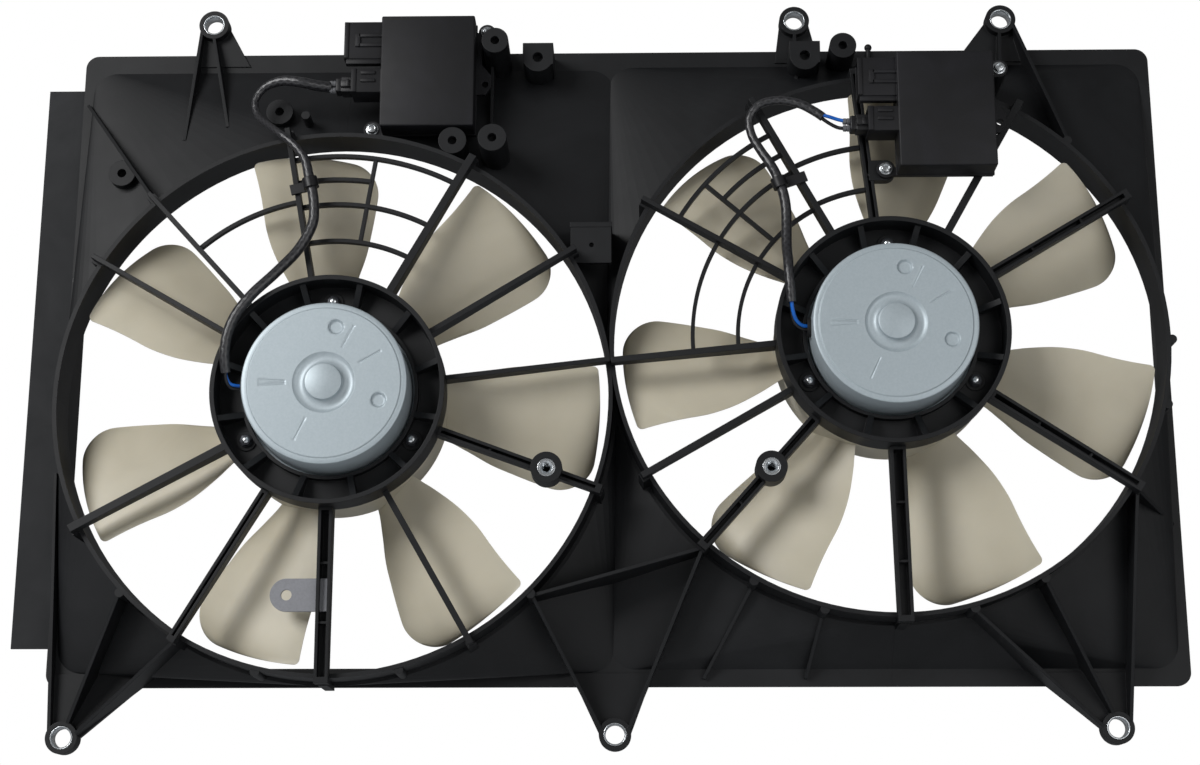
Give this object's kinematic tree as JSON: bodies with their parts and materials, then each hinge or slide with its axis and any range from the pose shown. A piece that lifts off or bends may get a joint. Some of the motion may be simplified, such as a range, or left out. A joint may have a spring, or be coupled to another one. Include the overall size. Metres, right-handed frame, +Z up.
{
  "type": "radiator cooling fan",
  "caption": "Moulded radiator shroud with electric motors carried on radial arms in round barrels, swept-blade fans, control modules and motor leads.",
  "frame": {"origin": "centre of the lower middle fixing hole, on the face that meets the radiator", "axes": "+X to the right seen from the engine side, +Z up, -Y out of the shroud towards the engine"},
  "size_m": [0.7724, 0.0962, 0.5187],
  "materials": {
    "black_plastic": "moulded black nylon, satin",
    "cream_plastic": "unfilled natural plastic, satin, slightly translucent",
    "zinc_steel": "zinc-plated steel, satin",
    "bare_steel": "plain steel, satin",
    "lamination_steel": "stacked steel sheet",
    "copper": "copper",
    "ferrite": "ferrite, matt",
    "brown_laminate": "paper laminate",
    "carbon": "carbon brush block",
    "bronze": "sintered bronze",
    "grey_rubber": "flexible sheet, matt",
    "black_rubber": "rubber, matt",
    "black_nylon": "nylon, satin",
    "black_sheath": "woven sheath with a slight sheen",
    "module_plastic": "moulded black plastic, fine grain",
    "board_green": "solder-masked board"
  },
  "bodies": {
    "housing": {"left_pan": "black_plastic", "right_pan": "black_plastic", "left_barrel": "black_plastic", "right_barrel": "black_plastic", "shroud_ribs": "black_plastic", "shroud_bosses": "black_plastic", "left_motor_carrier": "black_plastic", "left_motor_arms": "black_plastic", "left_finger_guard": "black_plastic", "right_motor_carrier": "black_plastic", "right_motor_arms": "black_plastic", "right_finger_guard": "black_plastic", "tab_bushes": "zinc_steel", "threaded_inserts": "zinc_steel", "side_baffle": "grey_rubber", "baffle_clips": "black_nylon", "steel_bracket": "bare_steel", "wire_clips": "black_nylon", "motor_bearings": "bronze", "motor_screws": "bare_steel", "module_screws": "zinc_steel", "left_motor_can": "zinc_steel", "left_end_plate": "zinc_steel", "left_magnets": "ferrite", "left_brush_holder": "brown_laminate", "left_brushes": "carbon", "left_brush_springs": "bare_steel", "left_grommet": "black_rubber", "left_motor_lead": "black_sheath", "left_lead_plug": "black_nylon", "left_module_case": "module_plastic", "left_module_base": "module_plastic", "left_circuit_board": "board_green", "right_motor_can": "zinc_steel", "right_end_plate": "zinc_steel", "right_magnets": "ferrite", "right_brush_holder": "brown_laminate", "right_brushes": "carbon", "right_brush_springs": "bare_steel", "right_grommet": "black_rubber", "right_motor_lead": "black_sheath", "right_lead_plug": "black_nylon", "right_module_case": "module_plastic", "right_module_base": "module_plastic", "right_circuit_board": "board_green"},
    "left_rotor": {"left_fan": "cream_plastic", "left_shaft": "bare_steel", "left_armature_core": "lamination_steel", "left_windings": "copper", "left_commutator": "copper", "left_fan_washer": "zinc_steel", "left_fan_nut": "zinc_steel"},
    "right_rotor": {"right_fan": "cream_plastic", "right_shaft": "bare_steel", "right_armature_core": "lamination_steel", "right_windings": "copper", "right_commutator": "copper", "right_fan_washer": "zinc_steel", "right_fan_nut": "zinc_steel"}
  },
  "joints": [
    {"name": "left_fan_spin", "type": "hinge", "parent": "housing", "child": "left_rotor", "pos_m": [-0.18351, -0.05, 0.2146], "axis": [0, 1, 0], "continuous": true},
    {"name": "right_fan_spin", "type": "hinge", "parent": "housing", "child": "right_rotor", "pos_m": [0.18021, -0.05, 0.2526], "axis": [0, 1, 0], "continuous": true}
  ]
}
